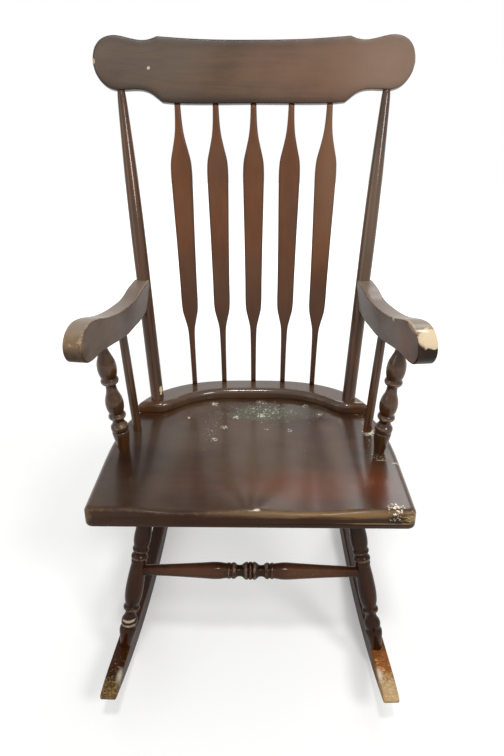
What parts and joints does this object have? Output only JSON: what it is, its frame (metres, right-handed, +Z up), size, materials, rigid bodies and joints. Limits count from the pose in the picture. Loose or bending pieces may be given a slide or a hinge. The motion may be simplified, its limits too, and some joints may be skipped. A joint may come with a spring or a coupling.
{
  "type": "boston rocking chair",
  "caption": "High-backed wooden rocking chair with arrow spindles, a bowed crest rail, scrolled arms, a saddled plank seat, turned legs and sawn rockers.",
  "frame": {"origin": "on the floor under the middle of the chair's bounding box", "axes": "+X to the right as seen from the front, +Y from the front to the back, +Z up"},
  "size_m": [0.633, 0.8122, 1.1181],
  "materials": {
    "seat_wood": "satin lacquer over dark walnut stain",
    "sawn_wood": "satin lacquer over dark walnut stain",
    "turned_wood": "satin lacquer over dark walnut stain",
    "pin_wood": "plain end grain",
    "screw_steel": "plain steel"
  },
  "bodies": {
    "root": {"seat": "seat_wood", "rear_rail": "sawn_wood", "crest_rail": "sawn_wood", "back_spindle_1": "turned_wood", "back_spindle_2": "turned_wood", "back_spindle_3": "turned_wood", "back_spindle_4": "turned_wood", "back_spindle_5": "turned_wood", "rail_screw_1": "screw_steel", "rail_screw_2": "screw_steel", "rail_screw_3": "screw_steel", "rail_screw_4": "screw_steel", "back_post_left": "turned_wood", "crest_pin_left": "pin_wood", "arm_left": "sawn_wood", "arm_post_left": "turned_wood", "arm_spindle_left": "turned_wood", "arm_screw_left": "screw_steel", "rocker_left": "sawn_wood", "front_leg_left": "turned_wood", "rocker_screw_front_left": "screw_steel", "rear_leg_left": "turned_wood", "rocker_screw_rear_left": "screw_steel", "back_post_right": "turned_wood", "crest_pin_right": "pin_wood", "arm_right": "sawn_wood", "arm_post_right": "turned_wood", "arm_spindle_right": "turned_wood", "arm_screw_right": "screw_steel", "rocker_right": "sawn_wood", "front_leg_right": "turned_wood", "rocker_screw_front_right": "screw_steel", "rear_leg_right": "turned_wood", "rocker_screw_rear_right": "screw_steel", "front_stretcher": "turned_wood", "rear_stretcher": "turned_wood"}
  },
  "joints": []
}
